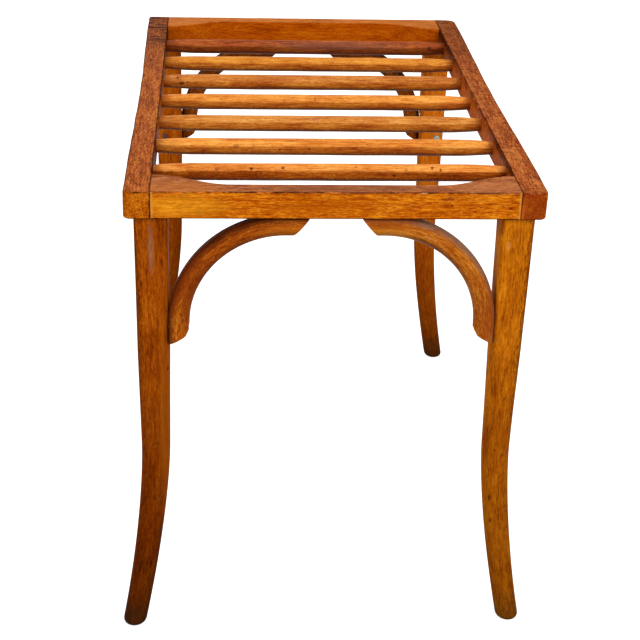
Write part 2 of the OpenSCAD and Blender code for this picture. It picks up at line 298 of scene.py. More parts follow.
def woodFinish(name, changes):
    look = {**beech, **changes}
    seed = look["seed"]
    f = Finish(name)
    grain = f.node("ShaderNodeAttribute", {"attribute_name": "grain"}, {}, "Vector")
    edge = f.node("ShaderNodeAttribute", {"attribute_name": "edge"}, {}, "Fac")
    place = f.node("ShaderNodeTexCoord", {}, {}, "Object")
    x = f.node("ShaderNodeSeparateXYZ", {}, {"Vector": place}, "X")
    normal = f.node("ShaderNodeNewGeometry", {}, {}, "Normal")
    up = f.node("ShaderNodeSeparateXYZ", {}, {"Vector": normal}, "Z")

    rings = growthRings(f, look, grain)
    streak = f.cloud(f.stretched(grain, look["streakScale"], seed), detail=2, roughness=0.6)
    mottle = f.cloud(f.stretched(grain, look["mottleScale"], seed),
                     detail=2, roughness=0.65, distortion=0.4)
    patch = f.cloud(f.stretched(grain, look["patchScale"], seed), detail=2, distortion=1)
    tone = (0.5 + rings.swing(look["ringShare"]) + streak.swing(look["streakShare"])
            + mottle.swing(look["mottleShare"]) + patch.swing(look["patchShare"]))
    onTop = f.between(up, look["topFrom"], look["topTo"]) * look["topShare"]
    colour = f.blend(onTop, f.ramp(tone, look["toneStops"], look["side"]),
                     f.ramp(tone, look["toneStops"], look["top"]))
    # painted shade on the faces that look down
    under = f.between(up, look["underFrom"], look["underTo"])
    colour = f.stain(colour, under * look["underShadeShare"], look["underShadeTone"])

    # light specks, partly beech fleck and partly painted glints, and the short dark pores of
    # beech
    glint = f.cloud(f.stretched(grain, look["speckScale"], seed), detail=1)
    speck = f.between(glint + patch.swing(look["speckPatch"]), look["speckFrom"], look["speckTo"])
    colour = f.stain(colour, speck * look["speckShare"], look["speckTone"])
    cells = f.node("ShaderNodeTexVoronoi", {}, {
        "Vector": f.stretched(grain, look["poreScale"], seed), "Scale": 1}, "Distance")
    pore = f.between(cells, look["poreFrom"], look["poreTo"])
    colour = f.stain(colour, pore * look["poreShare"], look["poreTone"])

    if look["sawShare"]:
        saw = sawMarks(f, look, grain, x.out("Y"))
        colour = f.stain(colour, saw * onTop * look["sawShare"], look["sawTone"])

    # dirt or bare wood along the edges; on a brace it is a band along the outer side, painted
    # shade on the front left brace and a painted sheen over grey dust on the front right one
    rub = f.cloud(f.stretched(grain, look["rubScale"], seed), detail=3, roughness=0.7)
    rub = f.between(rub, look["rubFrom"], look["rubTo"])
    worn = f.between(edge, look["edgeFrom"], look["edgeTo"]) * rub
    colour = f.stain(colour, worn * look["edgeShare"], look["edgeTone"])

    colour = soiledAndShaded(f, look, colour, x, onTop)
    colour, dents = marked(f, look, colour, place, mottle)

    height = (rings * look["ringRelief"] + streak * look["streakRelief"]
              + mottle * look["mottleRelief"] - pore * look["poreRelief"] - dents)
    bump = f.node("ShaderNodeBump", {}, {
        "Height": height, "Strength": look["reliefShare"], "Distance": look["relief"]})
    shader = f.node("ShaderNodeBsdfPrincipled", {}, {
        "Base Color": colour,
        "Roughness": (look["rough"] + mottle.swing(look["roughMottle"])
                      + patch.swing(look["roughPatch"])),
        "Specular IOR Level": look["shine"],
        "Normal": bump,
    })
    f.node("ShaderNodeOutputMaterial", {}, {"Surface": shader})
    return f.material


# metal

screwMetal = {
    "base": "#a4a49a",
    "film": "#34281c", "filmShare": 0.7, "filmFrom": 0.4, "filmTo": 0.65,
    "filmScale": (700, 700, 700), "filmDull": 0.35,
    "aged": "#5a2a0c", "agedShare": 0, "agedFrom": -0.05, "agedTo": -0.1,  # x, to the left
    "rough": 0.3, "filmRough": 0.3, "agedRough": 0.2,
    "scratchScale": (6000, 900, 900), "scratchShare": 0.2, "scratchDepth": 0.0001,
}


def metalFinish(name, changes):
    look = {**screwMetal, **changes}
    f = Finish(name)
    place = f.node("ShaderNodeTexCoord", {}, {}, "Object")
    x = f.node("ShaderNodeSeparateXYZ", {}, {"Vector": place}, "X")
    aged = f.between(x, look["agedFrom"], look["agedTo"]) * look["agedShare"]
    film = f.cloud(f.stretched(place, look["filmScale"]), detail=4, roughness=0.7)
    film = f.maths("MAXIMUM", f.between(film, look["filmFrom"], look["filmTo"]), aged)
    colour = f.blend(film * look["filmShare"], tint(look["base"]), tint(look["film"]))
    scratch = f.cloud(f.stretched(place, look["scratchScale"]), detail=2)
    bump = f.node("ShaderNodeBump", {}, {
        "Height": scratch, "Strength": look["scratchShare"], "Distance": look["scratchDepth"]})
    shader = f.node("ShaderNodeBsdfPrincipled", {}, {
        "Base Color": f.stain(colour, aged, look["aged"]),
        "Metallic": (1 - film * look["filmDull"]) * (1 - aged),
        "Roughness": look["rough"] + film * look["filmRough"] + aged * look["agedRough"],
        "Normal": bump,
    })
    f.node("ShaderNodeOutputMaterial", {}, {"Surface": shader})
    return f.material


# modelling helpers

touch = 1e-5  # how near a point is to a face that it lies on
weld = 1e-6  # how near a point is to a plane that cuts it
tiny = 1e-9  # keeps a division from failing
arrisAngle, smoothAngle = 40, 38  # degrees between two faces
noiseShift = (7.3, 3.1, 5.7)  # keeps one piece's noise apart from the next one's


def roundEdges(bm, edges, radius, segments):
    bmesh.ops.bevel(bm, geom=edges, offset=radius, offset_type="OFFSET", segments=segments,
                    profile=0.5, affect="EDGES", clamp_overlap=True, material=-1)


def cutAcross(bm, axis, places):
    normal = Vector(axis)
    for place in places:
        bmesh.ops.bisect_plane(bm, geom=bm.verts[:] + bm.edges[:] + bm.faces[:], dist=weld,
                               plane_co=normal * place, plane_no=normal)


def steps(low, high, count):
    return [low + (high - low) * k / count for k in range(count + 1)]


def ease(share):
    return (1 - math.cos(math.pi * min(1, max(0, share)))) / 2


def wobble(seed, rates, *place):  # smooth noise from -1 to 1; the rates are in waves per metre
    waves = Vector([p * rate for p, rate in zip(place, rates)])
    return noise.noise(waves + Vector([seed * shift for shift in noiseShift]))


def rodBlank(segments, rings):  # a rod of radius 1 with its rings at z = 0, 1, 2 ...
    bm = bmesh.new()
    bmesh.ops.create_cone(bm, cap_ends=True, segments=segments, radius1=1, radius2=1,
                          depth=rings - 1)
    bmesh.ops.translate(bm, vec=(0, 0, (rings - 1) / 2), verts=bm.verts)
    walls = [e for e in bm.edges if abs(e.verts[0].co.z - e.verts[1].co.z) > 0.5]
    bmesh.ops.subdivide_edges(bm, edges=walls, cuts=rings - 2, use_grid_fill=True)
    return bm


def barBlank(low, high):
    bm = bmesh.new()
    bmesh.ops.create_cube(bm, size=1)
    bmesh.ops.scale(bm, vec=high - low, verts=bm.verts)
    bmesh.ops.translate(bm, vec=(low + high) / 2, verts=bm.verts)
    return bm


def sharpEdges(bm, chosen=lambda p: True):  # those whose two ends are both chosen
    return [e for e in bm.edges if e.calc_face_angle(0) > math.radians(arrisAngle)
            and all(chosen(v.co) for v in e.verts)]


def markEdges(bm, low, high, radius, weight):  # 1 on an arris, 0 on the flats
    layer = bm.verts.layers.float.new("edge")
    for v in bm.verts:
        gaps = sorted(min(v.co[k] - low[k], high[k] - v.co[k]) for k in range(3))
        v[layer] = max(0, 1 - gaps[1] / radius) * weight(v.co)


def toPiece(bm, name, grainOf, finish, cutters=()):  # replaces the node of the same name
    bmesh.ops.recalc_face_normals(bm, faces=bm.faces)
    for face in bm.faces:
        face.smooth = True
    mesh = bpy.data.meshes.new(name)
    bm.to_mesh(mesh)
    bm.free()
    piece = bpy.data.objects.new(name, mesh)
    scene.collection.objects.link(piece)
    for cutter in cutters:
        cutOut(piece, cutter)
    mesh = piece.data
    grain = mesh.attributes.new("grain", "FLOAT_VECTOR", "POINT")
    for k, v in enumerate(mesh.vertices):
        grain.data[k].vector = grainOf(v.co)
    mesh.set_sharp_from_angle(angle=math.radians(smoothAngle))
    mesh.materials.append(finish)
    weighted = piece.modifiers.new("even normals", "WEIGHTED_NORMAL")
    weighted.keep_sharp = True
    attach(piece, "root")
    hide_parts(name)


def cutOut(piece, cutter):
    mesh = bpy.data.meshes.new("cutter")
    cutter.to_mesh(mesh)
    cutter.free()
    tool = bpy.data.objects.new("cutter", mesh)
    scene.collection.objects.link(tool)
    cut = piece.modifiers.new("cut", "BOOLEAN")
    cut.operation = "DIFFERENCE"
    cut.solver = "EXACT"
    cut.use_self = True
    cut.object = tool
    bpy.context.view_layer.update()
    shaped = piece.evaluated_get(bpy.context.evaluated_depsgraph_get())
    left = bpy.data.meshes.new_from_object(shaped)
    piece.modifiers.clear()
    piece.data = left
    bpy.data.objects.remove(tool)


def drillBit(mouth, direction, radius, depth):
    towards = Vector(direction)
    turn = towards.to_track_quat("Z", "Y").to_matrix().to_4x4()
    place = Matrix.Translation(Vector(mouth) + towards * depth / 2) @ turn
    bm = bmesh.new()
    bmesh.ops.create_cone(bm, cap_ends=True, segments=24, radius1=radius, radius2=radius,
                          depth=depth, matrix=place)
    return bm


# side rails and cross rails

sideRail = {
    "hollow": 0.0025,  # how far the outer edge is hollowed at mid length
    "swell": 0.0015,  # how far the inner edge swells there
    "frontCorner": 0.007, "backCorner": {-1: 0.005, 1: 0.012},  # left and right
    "outerEdge": 0.0020, "innerEdge": 0.0008, "innerDirt": 0.45,
    "spacing": 0.005, "endLand": 0.015,  # from ring to ring of points, and before the first
    "wear": 0.0005, "wearRates": (22, 30, 1),
    "topWear": 0.0004, "topRates": (30, 60, 1), "topBand": 0.0005,
    "axisDrop": 0.015,  # from the top to the middle of the grain
}
crossRail = {
    "narrow": 0.022, "wide": 0.048,
    "pad": 0.002,  # length of the full width at each end
    "sweep": 0.075,  # length of the curve down to the narrow middle
    "longEdge": 0.0017, "seamEdge": 0.0004, "innerDirt": 0.3, "cleanEnd": 0.001,
    "spacing": 0.004,
    "wear": 0.0004, "wearRates": (25, 30, 1),
    "axisDrop": 0.015, "axisInset": 0.010,
}
waistHalf = crossY - crossRail["wide"]  # the side rails are hollowed between the cross rails


def waist(y):
    return (1 + math.cos(math.pi * y / waistHalf)) / 2 if abs(y) < waistHalf else 0


def sideRailPiece(side, name, finish):
    low = Vector((seamX, -halfDepth, underZ))
    high = Vector((halfWidth, halfDepth, topZ))
    middle = (seamX + halfWidth) / 2

    def onInner(p):
        return p.x < seamX + touch

    bm = barBlank(low, high)
    for end, radius in ((-1, sideRail["frontCorner"]), (1, sideRail["backCorner"][side])):
        corner = sharpEdges(bm, lambda p: p.x > high.x - touch and p.y * end > halfDepth - touch)
        roundEdges(bm, corner, radius, segments=8)
    atInner = sharpEdges(bm, onInner)
    others = [e for e in sharpEdges(bm) if e not in atInner]
    roundEdges(bm, others, sideRail["outerEdge"], segments=4)
    roundEdges(bm, sharpEdges(bm, onInner), sideRail["innerEdge"], segments=2)
    cutAcross(bm, (1, 0, 0), [seamX + sideRail["outerEdge"]])
    reach = halfDepth - sideRail["endLand"]
    cutAcross(bm, (0, 1, 0), steps(-reach, reach, round(2 * reach / sideRail["spacing"])))
    markEdges(bm, low, high, sideRail["outerEdge"],
              lambda p: 1 if p.x > middle else sideRail["innerDirt"])
    for v in bm.verts:
        bend = waist(v.co.y)
        outer = v.co.x > middle
        v.co.x -= bend * (sideRail["hollow"] if outer else sideRail["swell"])
        worn = 0.5 + wobble(side, sideRail["wearRates"], v.co.y, v.co.z, outer)
        worn *= sideRail["wear"]
        v.co.x += -worn if outer else worn * bend
        if v.co.z > topZ - sideRail["topBand"]:
            dip = max(0, wobble(side + 2, sideRail["topRates"], v.co.y, v.co.x, 0))
            v.co.z -= sideRail["topWear"] * dip
    if side < 0:
        bmesh.ops.scale(bm, vec=(-1, 1, 1), verts=bm.verts)
    axisX = side * middle
    axisZ = topZ - sideRail["axisDrop"]
    toPiece(bm, name, lambda p: (p.x - axisX, p.z - axisZ, p.y), finish)


def crossWidth(x):
    share = (seamX - crossRail["pad"] - abs(x)) / crossRail["sweep"]
    return crossRail["wide"] - (crossRail["wide"] - crossRail["narrow"]) * ease(share)


def crossRailPiece(end, name, finish):
    low = Vector((-seamX, crossY - crossRail["wide"], underZ))
    high = Vector((seamX, crossY, topZ))
    middle = (low.y + high.y) / 2

    def dirt(p):
        onFace = p.y > middle and abs(p.x) < seamX - crossRail["cleanEnd"]
        return 1 if onFace else crossRail["innerDirt"]

    bm = barBlank(low, high)
    along = [e for e in bm.edges if abs(e.verts[0].co.x - e.verts[1].co.x) > seamX]
    roundEdges(bm, along, crossRail["longEdge"], segments=4)
    atSeams = sharpEdges(bm, lambda p: abs(p.x) > seamX - touch)
    roundEdges(bm, atSeams, crossRail["seamEdge"], segments=2)
    reach = seamX - crossRail["pad"]
    cutAcross(bm, (1, 0, 0), steps(-reach, reach, round(2 * reach / crossRail["spacing"])))
    markEdges(bm, low, high, crossRail["longEdge"], dirt)
    for v in bm.verts:
        outer = v.co.y > middle
        worn = 0.5 + wobble(end + 4, crossRail["wearRates"], v.co.x, v.co.z, outer)
        worn *= crossRail["wear"]
        if v.co.y < middle:
            v.co.y += crossRail["wide"] - crossWidth(v.co.x) + worn
        else:
            v.co.y -= worn
    if end < 0:
        bmesh.ops.scale(bm, vec=(1, -1, 1), verts=bm.verts)
    axisY = end * (crossY - crossRail["axisInset"])
    axisZ = topZ - crossRail["axisDrop"]
    toPiece(bm, name, lambda p: (p.y - axisY, p.z - axisZ, p.x), finish)


# rungs

rung = {
    "radius": 0.009, "endRadius": 0.007, "taper": 0.040,
    "tenonRadius": 0.00525, "tenonLength": 0.015, "tenonEdge": 0.001,
    "step": 0.0001,  # length of the step from the tenon to the rung
    "drop": 0.005,  # from the top of the frame to the top of a rung
    "inset": 0.094,  # from the end of the frame to the first rung
    "count": 7,
    "sides": 48, "taperRings": 12, "plainRings": 34, "ringGap": 0.002,
    "facets": 6, "facetShare": 0.15, "facetFade": 0.02,  # left by the drawknife
    "crease": 17,  # degrees above the front
    "twist": 0.4, "twistRates": (7, 1, 1), "ownTurn": 0.25,  # radians
    "wear": 0.0002, "wearRates": (30, 1.5, 1.5), "wearBias": 0.1,
}


def rungPiece(number, finish):
    pitch = 2 * (halfDepth - rung["inset"]) / (rung["count"] - 1)
    y = -halfDepth + rung["inset"] + (number - 1) * pitch
    z = topZ - rung["drop"] - rung["radius"]
    shoulder = seamX - sideRail["swell"] * waist(y)
    tip = shoulder + rung["tenonLength"]
    gap = rung["ringGap"]
    tenon = [tip, tip - rung["tenonEdge"], shoulder + rung["step"], shoulder]
    taper = steps(shoulder - gap, shoulder - rung["taper"], rung["taperRings"])
    plain = steps(shoulder - rung["taper"] - 2 * gap, gap, rung["plainRings"])
    half = tenon + taper + plain
    stations = [-x for x in half] + half[::-1]
    sector = 2 * math.pi / rung["facets"]
    crease = math.radians(180 - rung["crease"])

    def radiusAt(x):
        if abs(x) > shoulder + rung["step"] / 2:
            return rung["tenonRadius"] - max(0, rung["tenonEdge"] - (tip - abs(x)))
        swell = math.sin(min(1, (shoulder - abs(x)) / rung["taper"]) * math.pi / 2)
        return rung["endRadius"] + (rung["radius"] - rung["endRadius"]) * swell

    def facetTurn(x, angle):
        bent = rung["twist"] * wobble(number, rung["twistRates"], x, 0, 0)
        own = rung["ownTurn"] * wobble(number, (1, 1, 1), 3, 0, 0)
        return angle - crease + bent + own

    bm = rodBlank(rung["sides"], len(stations))
    bm.verts.layers.float.new("edge")  # stays 0: a rung has no arris
    for v in bm.verts:
        x = stations[round(v.co.z)]
        angle = math.atan2(v.co.y, v.co.x)
        cosine, sine = math.cos(angle), math.sin(angle)
        radius = radiusAt(x) * math.hypot(v.co.x, v.co.y)
        if abs(x) < shoulder:
            flat = math.cos(sector / 2) / math.cos((facetTurn(x, angle) % sector) - sector / 2)
            fade = min(1, (shoulder - abs(x)) / rung["facetFade"])
            radius *= 1 - rung["facetShare"] * (1 - flat) * fade
            worn = wobble(number, rung["wearRates"], x, cosine, sine) - rung["wearBias"]
            radius += rung["wear"] * worn
        v.co = Vector((x, y + radius * cosine, z + radius * sine))
    toPiece(bm, f"rung_{number}", lambda p: (p.y - y, p.z - z, p.x), finish)


# legs

leg = {
    "width": 0.033, "inset": 0.024, "corner": 0.003,
    "taperHeight": 0.330, "taperPower": 1.2,
    "roundHeight": 0.250,
    "sweepHeight": 0.215, "sweepSide": 0.027, "sweepEnd": 0.016, "sweepPower": 1.6,
    "foot": 0.025, "sole": 0.0065, "soleStep": 15,  # degrees from ring to ring
    "sides": 48, "shaftRings": 84,
    "cornerFrom": 0.78, "cornerWidth": 0.15,  # the worn corner, in shares of the half width
    "wear": 0.00035, "wearRates": (60, 60, 16),
}
legY = halfDepth - leg["inset"]

brace = {
    "outer": 0.116,  # radius of the outer face
    "width": 0.021, "thick": 0.0215, "squareness": 2.7,
    "railRun": 0.024, "legRun": 0.022,  # straight lengths past the bend
    "railCut": 40, "legCut": 30,  # degrees that the ends slant
    "trim": 0.0027, "trimTurn": 30,  # of the lower end's inner corner; degrees
    "rim": 0.0014, "rimAngle": 26,
    "seat": 0.0015, "setback": 0.003,  # into the leg, and behind the cross rail's face
    "screwLand": 0.0055, "screwHead": 0.0041, "screwDepth": 0.004,
    "sides": 32, "runRings": 9, "bendRings": 52,
    "flatGap": 0.0001, "flatReach": 0.010, "flatTool": 0.004,  # of the cutter for the leg's flat
}
braceX = seamX - leg["width"] / 2 + brace["seat"] - brace["outer"]
braceY = crossY - brace["setback"] - brace["width"] / 2
braceZ = underZ - brace["outer"]


def legHalfWidth(z):
    share = min(1, z / leg["taperHeight"]) ** leg["taperPower"]
    return (leg["foot"] + (leg["width"] - leg["foot"]) * share) / 2


def legSquareness(z):  # exponent of the superellipse that has the leg's corner radius: 2 is round
    w = legHalfWidth(z)
    share = min(1, (underZ - z) / (underZ - leg["roundHeight"]))
    corner = leg["corner"] + (w - leg["corner"]) * share
    diagonal = ((w - corner) * math.sqrt(2) + corner) / (w * math.sqrt(2))
    return -1 / math.log2(diagonal)


def legSweep(z):
    return max(0, 1 - z / leg["sweepHeight"]) ** leg["sweepPower"]


def braceFlat(side, end):  # cuts the flat that is planed into the leg for the brace
    upperReach = math.sqrt(2 * brace["outer"] * brace["seat"])
    face = seamX - leg["width"] / 2 + brace["seat"]
    near = braceY - brace["width"] / 2 - brace["flatGap"]
    low = Vector((face - brace["flatTool"], near, braceZ - brace["legRun"]))
    high = Vector((face, halfDepth + brace["flatReach"], braceZ + upperReach))
    bm = barBlank(low, high)
    bmesh.ops.scale(bm, vec=(side, end, 1), verts=bm.verts)
    bmesh.ops.recalc_face_normals(bm, faces=bm.faces)
    return bm


def legPiece(side, end, name, finish):
    turns = [math.radians(d) for d in range(0, 90, leg["soleStep"])]
    sole = [(leg["sole"] * (1 - math.cos(a)), leg["sole"] * (1 - math.sin(a))) for a in turns]
    shaft = [(z, 0) for z in steps(leg["sole"], underZ, leg["shaftRings"])]
    stations = sole + shaft  # height, and how far the sole's edge is inset there
    bm = rodBlank(leg["sides"], len(stations))
    edge = bm.verts.layers.float.new("edge")
    seed = side + 2 * end + 9
    for v in bm.verts:
        z, inset = stations[round(v.co.z)]
        away = math.hypot(v.co.x, v.co.y)
        w = (legHalfWidth(z) - inset) * away
        power = 2 / legSquareness(z)
        cosine, sine = v.co.x / max(away, tiny), v.co.y / max(away, tiny)
        x = w * math.copysign(abs(cosine) ** power, cosine)
        y = w * math.copysign(abs(sine) ** power, sine)
        toCorner = max(0, min(abs(x), abs(y)) / max(w, tiny) - leg["cornerFrom"])
        v[edge] = toCorner / leg["cornerWidth"] * (1 - power)
        worn = leg["wear"] * wobble(seed, leg["wearRates"], x, y, z)
        x *= 1 + worn / leg["width"]
        y *= 1 + worn / leg["width"]
        bent = legSweep(z)
        v.co = Vector((x + seamX + leg["sweepSide"] * bent, y + legY + leg["sweepEnd"] * bent, z))
    bmesh.ops.scale(bm, vec=(side, end, 1), verts=bm.verts)

    def grainOf(p):
        bent = legSweep(p.z)
        return (p.x - side * (seamX + leg["sweepSide"] * bent),
                p.y - end * (legY + leg["sweepEnd"] * bent), p.z)

    toPiece(bm, name, grainOf, finish, [braceFlat(side, end)])


# braces, made round their bend's own centre and then moved

def braceGrain(p):  # across, sideways and along the bent rod
    middle = brace["outer"] - brace["thick"] / 2
    if p.z < 0:
        return (p.x - middle, p.y, p.z)
    if p.x < 0:
        return (p.z - middle, p.y, math.pi / 2 * middle - p.x)
    return (math.hypot(p.x, p.z) - middle, p.y, math.atan2(p.z, p.x) * middle)


def trimEnd(bm, tip, slant, below=math.inf):
    # only what lies below that height is cut, by a plane whose normal rises by slant degrees
    normal = Vector((math.cos(math.radians(slant)), 0, math.sin(math.radians(slant))))
    low = [v for v in bm.verts if v.co.z < below]
    low += [part for part in bm.edges[:] + bm.faces[:] if all(v.co.z < below for v in part.verts)]
    bmesh.ops.bisect_plane(bm, geom=low, dist=weld, plane_co=tip, plane_no=-normal,
                           clear_outer=True)
    bmesh.ops.holes_fill(bm, edges=[e for e in bm.edges if e.is_boundary], sides=0)


def bentRod(inner, spare):  # with a spare length at each end, for the cuts
    half = brace["width"] / 2
    bm = bmesh.new()
    bmesh.ops.create_circle(bm, segments=brace["sides"], radius=1)
    for v in bm.verts:  # round inside, a little flatter outside
        across, out = v.co.y, v.co.x
        power = 2 / brace["squareness"]
        if out > 0:
            out = out ** power * (brace["thick"] - half)
            across = math.copysign(abs(across) ** power, across)
        else:
            out *= half
        v.co = Vector((inner + half + out, across * half, -brace["legRun"] - spare))
    ring = {"geom_last": bm.verts[:] + bm.edges[:]}
    count = brace["runRings"]
    runs = [
        ((0, 0, (brace["legRun"] + spare) / count), 0, count),
        ((0, 0, 0), -math.pi / 2, brace["bendRings"]),
        ((-(brace["railRun"] + spare) / count, 0, 0), 0, count),
    ]
    for shift, angle, rings in runs:
        ring = bmesh.ops.spin(bm, geom=ring["geom_last"], cent=(0, 0, 0), axis=(0, 1, 0),
                              dvec=shift, angle=angle, steps=rings)
    return bm


def screwRun(run, cut):  # from the bend to a screw
    return run - brace["thick"] * math.tan(math.radians(cut)) - brace["screwLand"]


def bracePiece(side, end, name, finish):
    inner = brace["outer"] - brace["thick"]
    bm = bentRod(inner, spare=0.004)
    trimEnd(bm, Vector((-brace["railRun"], 0, brace["outer"])), brace["railCut"])
    legSlant = 90 - brace["legCut"]
    trimEnd(bm, Vector((brace["outer"], 0, -brace["legRun"])), legSlant)
    # the inner corner of the lower end
    cornerZ = -brace["legRun"] + brace["thick"] * math.tan(math.radians(brace["legCut"]))
    trimEnd(bm, Vector((inner + brace["trim"], 0, cornerZ)), legSlant - brace["trimTurn"],
            below=0.0001)
    rims = [e for e in bm.edges
            if len(e.link_faces) == 2 and e.calc_face_angle(0) > math.radians(brace["rimAngle"])]
    roundEdges(bm, rims, brace["rim"], segments=3)

    layer = bm.verts.layers.float.new("edge")
    for v in bm.verts:  # 0 inside the bend, 1 outside
        v[layer] = (braceGrain(v.co)[0] + brace["thick"] / 2) / brace["thick"]
    bmesh.ops.translate(bm, vec=(braceX, braceY, braceZ), verts=bm.verts)
    bmesh.ops.scale(bm, vec=(side, end, 1), verts=bm.verts)

    reach = 0.006  # of a bit outside the wood
    depth = reach + brace["screwDepth"]
    railScrew = braceX - screwRun(brace["railRun"], brace["railCut"])
    legScrew = braceZ - screwRun(brace["legRun"], brace["legCut"])
    bits = [
        drillBit((side * railScrew, end * braceY, underZ - brace["thick"] - reach),
                 (0, 0, 1), brace["screwHead"], depth),
        drillBit((side * (braceX + inner - reach), end * braceY, legScrew),
                 (side, 0, 0), brace["screwHead"], depth),
    ]

    def grainOf(p):
        return braceGrain(Vector((p.x * side - braceX, p.y * end - braceY, p.z - braceZ)))

    toPiece(bm, name, grainOf, finish, bits)


# making the pieces

corners = {
    "front_left": (-1, -1), "front_right": (1, -1), "back_left": (-1, 1), "back_right": (1, 1),
}
seeds = {  # first piece and step from piece to piece
    "rung": ((0, 0, 0), (1.9, 3.7, 0.8)),
    "leg": ((0.4, 6, 0), (2.3, 1.1, 4.3)),
    "brace": ((2, 1, 0), (3.1, 2.7, 1.3)),
}


def seedOf(kind, number):
    return [start + number * step for start, step in zip(*seeds[kind])]


railLook = {
    "topShare": 1.0, "seamShare": 0.8, "edgeShare": 0.9, "edgeFrom": 0.05, "edgeTo": 0.4,
    "poreShare": 0.22,
}
railLooks = {
    "side_rail_left": {
        "seed": (1.3, 4.1, 2.2), "side": ("#863804", "#ac5204", "#cc7610"), "backShadeShare": 0.4,
        "sawShare": 0.85, "sawFrom": 0.16, "sawTo": 0.36,
        "marks": [
            ((-0.2008, 0.0544, 0.505), (0.003, 0.008, 0.004), "#2c0e06", 0.6, 0),
        ]},
    "side_rail_right": {
        "seed": (7.7, 2.4, 5.9), "pith": (-0.05, 0.02),
        "side": ("#782804", "#a84206", "#c26012"), "top": ("#6e2c12", "#a24e20", "#c4723c"),
        "backShadeShare": 0.5, "sawShare": 0.3,
        "marks": [
            ((0.1920, -0.3250, 0.4910), (0.0220, 0.0060, 0.0300), "#7a2a0c", 0.55, 0),
            # painted light along the inner face
            ((0.1780, -0.1000, 0.4840), (0.0050, 0.6000, 0.0200), "#d86c24", 0.5, 0),
        ]},
    "front_rail": {
        "seed": (3.3, 9.2, 1.4), "pith": (0.03, 0.05),
        "side": ("#903802", "#bc5a06", "#e48814"), "top": ("#683018", "#9c542c", "#c07a4e"),
        "stripeShare": 0.35, "speckShare": 0.32, "poreShare": 0.25,
        "mottleShare": 0.75, "streakShare": 0.65,
        "marks": [
            ((0.0, -0.324, 0.490), (0.075, 0.004, 0.016), "#b05404", 0.35, 0),
            ((-0.145, -0.324, 0.490), (0.050, 0.004, 0.014), "#f0a820", 0.3, 0),
            ((0.1110, -0.324, 0.4914), (0.0018, 0.003, 0.0016), "#50100a", 0.9, 0.8),
            ((0.1687, -0.324, 0.4886), (0.0036, 0.003, 0.0013), "#6a200c", 0.85, 0.5),
            ((0.1069, -0.324, 0.4981), (0.0110, 0.004, 0.0022), "#7a2c0c", 0.7, 0),
            # a painted highlight on the front top arris
            ((0.0830, -0.3245, 0.5045), (0.0068, 0.0016, 0.0012), "#f0b898", 0.9, 0),
            ((0.0100, -0.3120, 0.5050), (0.0950, 0.0200, 0.0030), "#74422c", 0.45, 0),
            ((0.1550, -0.3120, 0.5050), (0.0600, 0.0200, 0.0030), "#b87448", 0.25, 0),
            ((-0.1550, -0.3120, 0.5050), (0.0600, 0.0200, 0.0030), "#bc6c28", 0.4, 0),
        ]},
    "back_rail": {
        "seed": (5.1, 6.2, 8.3), "pith": (0.06, -0.03),
        "side": ("#842e02", "#ae4a02", "#c46808"), "top": ("#8a4214", "#bc6828", "#d28440"),
        "edgeShare": 0.6, "poreShare": 0.12, "speckShare": 0.08,
        "mottleShare": 0.5, "streakShare": 0.45,
    },
}
for side, name in ((-1, "side_rail_left"), (1, "side_rail_right")):
    sideRailPiece(side, name, woodFinish(name, {**railLook, **railLooks[name]}))
for end, name in ((-1, "front_rail"), (1, "back_rail")):
    crossRailPiece(end, name, woodFinish(name, {**railLook, **railLooks[name]}))
print("frame rails made")

